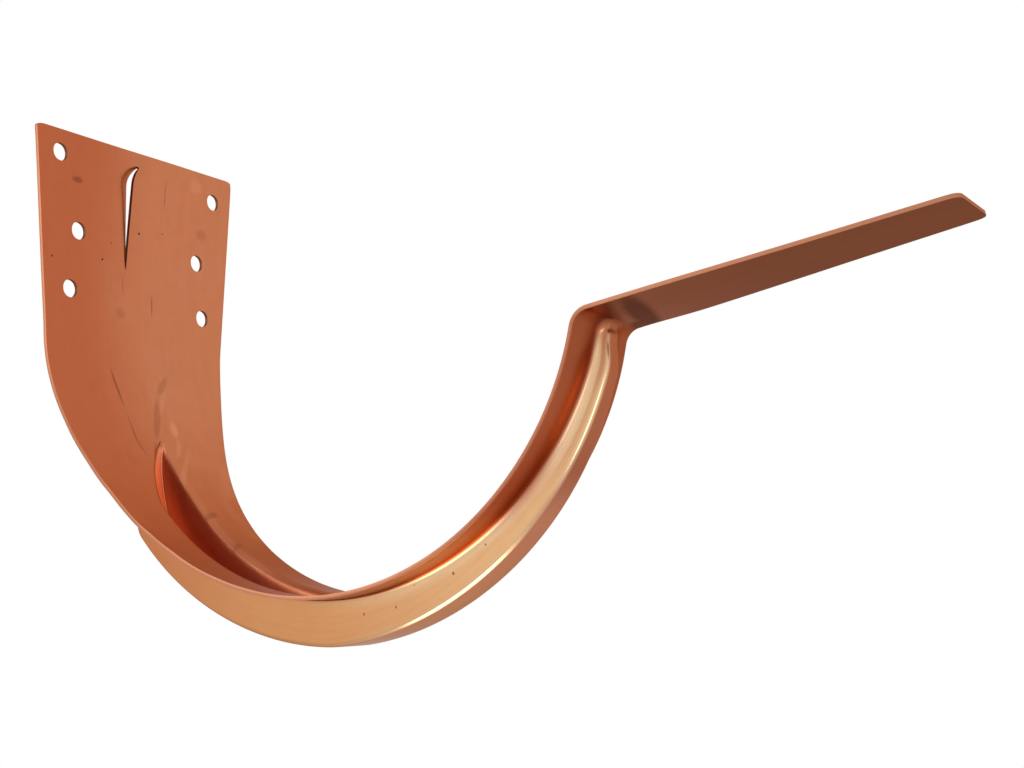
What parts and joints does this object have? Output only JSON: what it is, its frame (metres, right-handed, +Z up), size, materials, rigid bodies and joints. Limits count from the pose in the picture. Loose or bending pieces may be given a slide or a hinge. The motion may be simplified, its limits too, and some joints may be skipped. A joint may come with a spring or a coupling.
{
  "type": "half round gutter hanger",
  "caption": "One-piece sheet copper hanger with a nailed back plate, a beaded half round cradle for a gutter and a front strap left straight for folding over.",
  "frame": {"origin": "on the fascia face of the back plate, midway between the lower nail holes", "axes": "+X from the fascia out to the front of the gutter, +Y along the gutter, +Z up"},
  "size_m": [0.2448, 0.08, 0.1469],
  "materials": {
    "copper_sheet": "satin rolled copper"
  },
  "bodies": {
    "root": {"gutter_hanger": "copper_sheet"}
  },
  "joints": []
}
